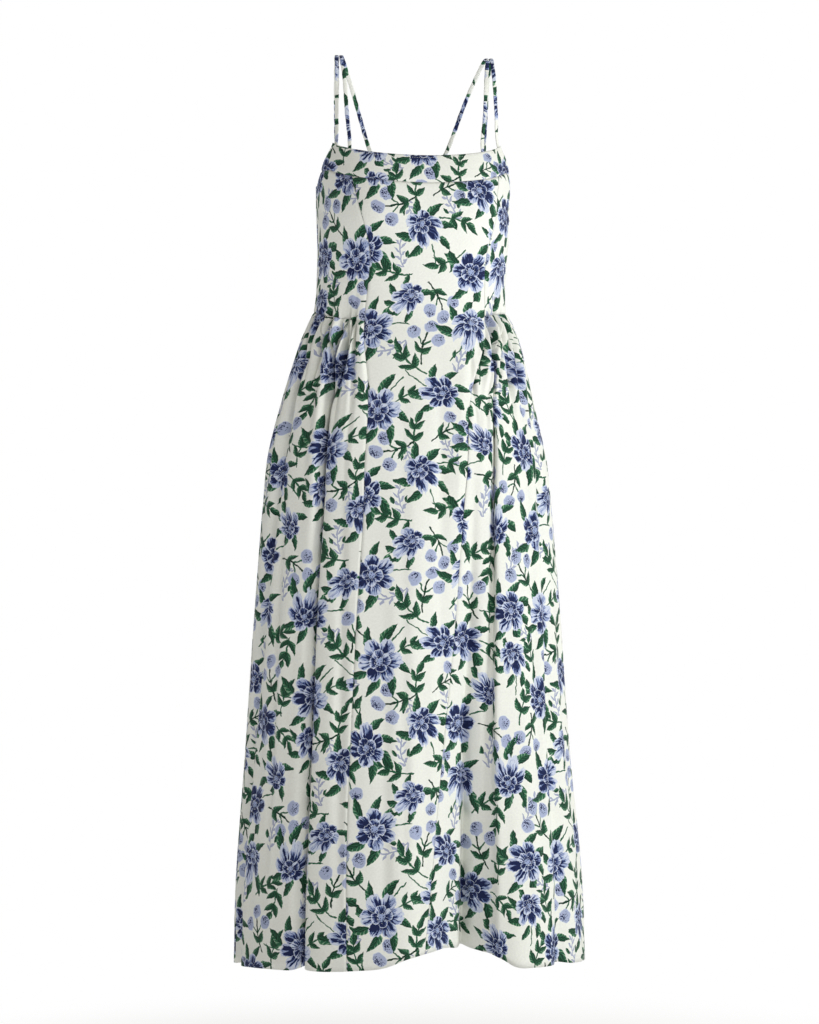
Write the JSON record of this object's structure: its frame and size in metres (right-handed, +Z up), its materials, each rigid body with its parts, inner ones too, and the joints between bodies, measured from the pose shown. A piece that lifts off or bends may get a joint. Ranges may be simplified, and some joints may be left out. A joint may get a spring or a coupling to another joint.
{
  "type": "midi dress",
  "caption": "Sleeveless midi dress with a square neck band, paired narrow straps, princess seams, gathered skirt and back zip.",
  "frame": {"origin": "midway between the tops of the shoulder straps, where the wearer's shoulders hold the dress", "axes": "+Z up, -Y out of the front of the dress, +X to the wearer's left"},
  "size_m": [0.4918, 0.392, 1.2662],
  "materials": {
    "printed_cotton": "plain-weave cotton, matt with a faint sheen, printed with blue and green flowers on ivory",
    "zip_tape": "woven ivory zip tape",
    "enamelled_zinc": "ivory enamel on cast zinc"
  },
  "bodies": {
    "dress": {"back_bodice_left": "printed_cotton", "back_bodice_right": "printed_cotton", "back_skirt_left": "printed_cotton", "back_skirt_right": "printed_cotton", "front_centre_panel": "printed_cotton", "front_side_bodice_left": "printed_cotton", "front_side_bodice_right": "printed_cotton", "front_side_skirt_left": "printed_cotton", "front_side_skirt_right": "printed_cotton", "neck_band": "printed_cotton", "strap_inner_left": "printed_cotton", "strap_inner_right": "printed_cotton", "strap_outer_left": "printed_cotton", "strap_outer_right": "printed_cotton", "zip_tape": "zip_tape", "zip_slider": "enamelled_zinc"},
    "pull": {"zip_pull": "enamelled_zinc"}
  },
  "joints": [
    {"name": "pull_hinge", "type": "hinge", "parent": "dress", "child": "pull", "pos_m": [0, 0.0998, -0.207], "axis": [1, 0, 0], "range_deg": [0, 170]}
  ]
}
